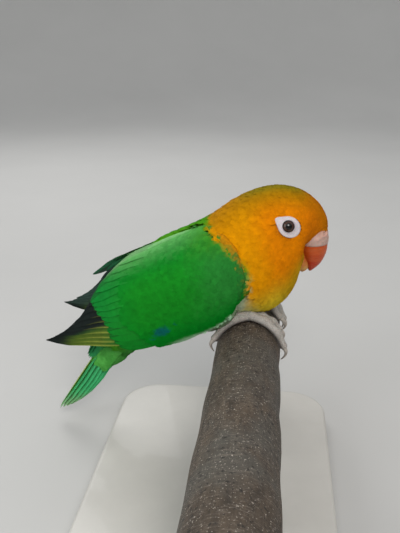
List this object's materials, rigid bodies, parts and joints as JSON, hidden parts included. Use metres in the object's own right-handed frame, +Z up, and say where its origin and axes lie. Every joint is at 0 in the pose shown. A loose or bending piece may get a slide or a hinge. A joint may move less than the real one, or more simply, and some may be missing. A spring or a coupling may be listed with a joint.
{
  "type": "fischer's lovebird",
  "caption": "Still life-size model of a small green parrot with an orange head and white eye rings, gripping a short wooden perch on a plain display stand.",
  "frame": {"origin": "centre of the underside of the stand's base", "axes": "+X the way the bird faces, +Y to the bird's left and along the perch, +Z up"},
  "size_m": [0.1255, 0.18, 0.1167],
  "materials": {
    "orange_plumage": "soft orange feathers, yellower on the breast",
    "green_plumage": "soft green feathers",
    "wing_plumage": "smooth green feathers with darker flight feathers",
    "tail_plumage": "smooth green feathers with yellow and blue touches",
    "cere": "matt pinkish-white skin",
    "bill_horn": "satin orange-red horn",
    "eye": "wet dark brown",
    "eye_ring": "matt white bare skin",
    "foot_skin": "scaly grey-pink skin",
    "claw_horn": "satin grey-brown horn",
    "perch_wood": "weathered bare wood",
    "stand_base": "painted light warm grey",
    "stand_rod": "brushed"
  },
  "bodies": {
    "root": {"head": "orange_plumage", "neck": "orange_plumage", "torso": "green_plumage", "cere": "cere", "bill_upper": "bill_horn", "bill_lower": "bill_horn", "eye_right": "eye", "eye_ring_right": "eye_ring", "thigh_right": "green_plumage", "foot_right": "foot_skin", "claw_right_inner_front": "claw_horn", "claw_right_outer_front": "claw_horn", "claw_right_outer_rear": "claw_horn", "claw_right_inner_rear": "claw_horn", "wing_right": "wing_plumage", "eye_left": "eye", "eye_ring_left": "eye_ring", "thigh_left": "green_plumage", "foot_left": "foot_skin", "claw_left_inner_front": "claw_horn", "claw_left_outer_front": "claw_horn", "claw_left_outer_rear": "claw_horn", "claw_left_inner_rear": "claw_horn", "wing_left": "wing_plumage", "tail": "tail_plumage", "perch": "perch_wood", "stand_base": "stand_base", "stand_rod_front": "stand_rod", "stand_rod_rear": "stand_rod"}
  },
  "joints": []
}
